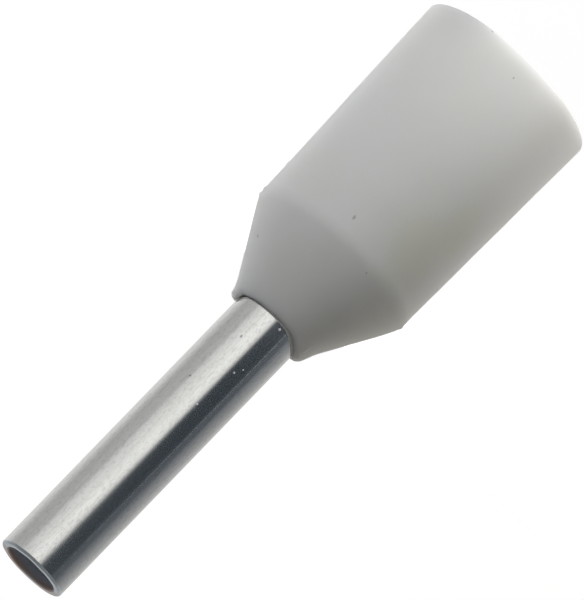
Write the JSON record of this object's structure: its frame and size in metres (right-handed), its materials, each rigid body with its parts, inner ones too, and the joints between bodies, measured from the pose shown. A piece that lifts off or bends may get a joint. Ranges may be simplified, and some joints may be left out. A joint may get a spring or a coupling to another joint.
{
  "type": "wire ferrule",
  "caption": "Insulated wire ferrule: a flared, tin-plated copper tube held in a white moulded plastic collar that takes the wire's insulation.",
  "frame": {"origin": "centre of the collar's mouth, on the plane of its rim", "axes": "+Z along the ferrule's axis, from the mouth to the tube's tip; the part is round, so X and Y are alike"},
  "size_m": [0.0036, 0.0036, 0.012],
  "materials": {
    "tinned_copper": "drawn copper tube with bright satin tin plating, fine lines along its length",
    "white_plastic": "moulded white polypropylene, satin, slightly translucent"
  },
  "bodies": {
    "root": {"crimp_tube": "tinned_copper", "insulating_collar": "white_plastic"}
  },
  "joints": []
}
